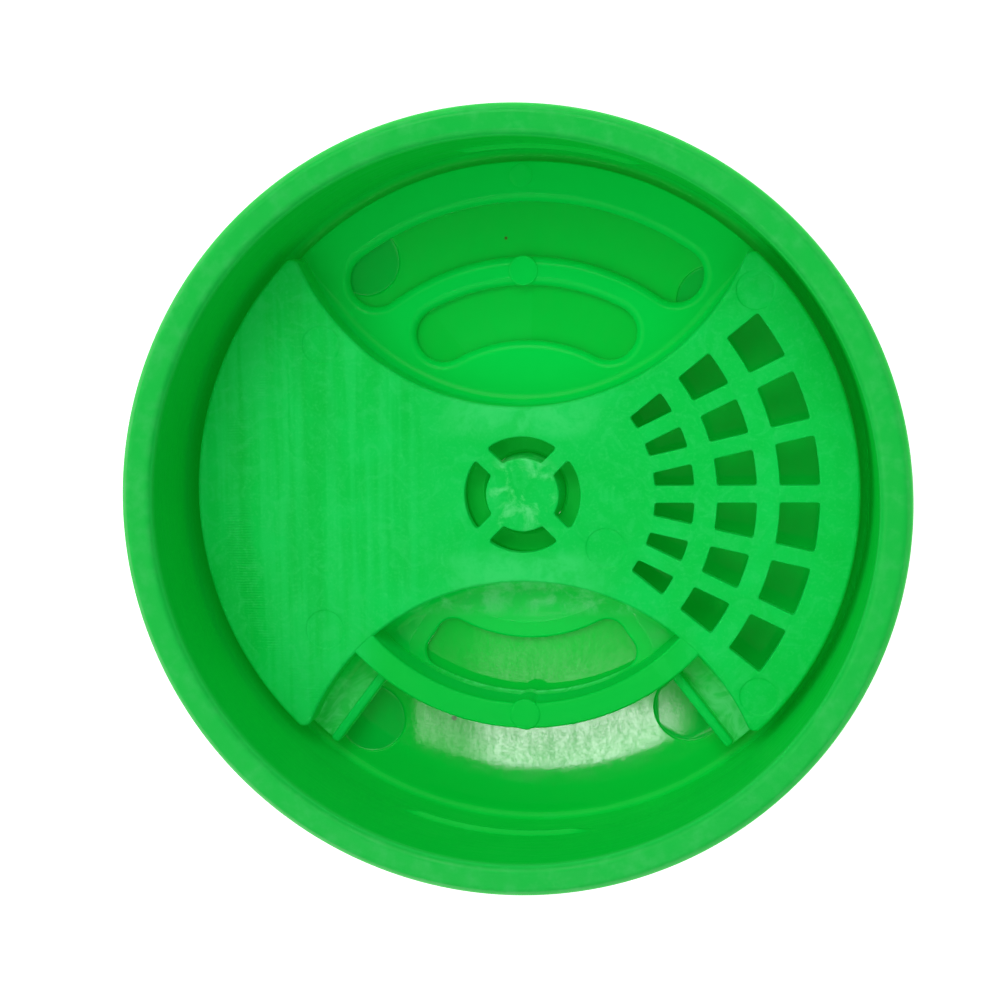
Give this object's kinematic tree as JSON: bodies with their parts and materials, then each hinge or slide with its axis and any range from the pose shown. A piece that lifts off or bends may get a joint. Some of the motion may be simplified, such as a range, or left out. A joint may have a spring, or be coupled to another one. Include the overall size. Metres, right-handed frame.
{
  "type": "wasp trap lid",
  "caption": "Round screw-on trap lid with a rotary selector disc inside: closed, slotted, vented and open quarters, turned by a dial outside.",
  "frame": {"origin": "on the lid's axis, in the plane of the outer face that the lid rests on", "axes": "+Z along the lid's axis towards its open mouth, -X towards the window in the cap floor, +Y towards the slotted quarter of the disc at rest"},
  "size_m": [0.098, 0.098, 0.0302],
  "materials": {
    "cap_plastic": "bright green injection-moulded polypropylene, glossy floor and satin lip",
    "disc_plastic": "bright green injection-moulded polypropylene, semi-gloss with flow lines",
    "dial_plastic": "bright green injection-moulded polypropylene, satin"
  },
  "bodies": {
    "lid_cap": {"cap": "cap_plastic"},
    "selector": {"selector_disc": "disc_plastic", "dial": "dial_plastic"}
  },
  "joints": [
    {"name": "selector_turn", "type": "hinge", "parent": "lid_cap", "child": "selector", "pos_m": [0, 0, 0.009], "axis": [0, 0, 1], "continuous": true}
  ]
}
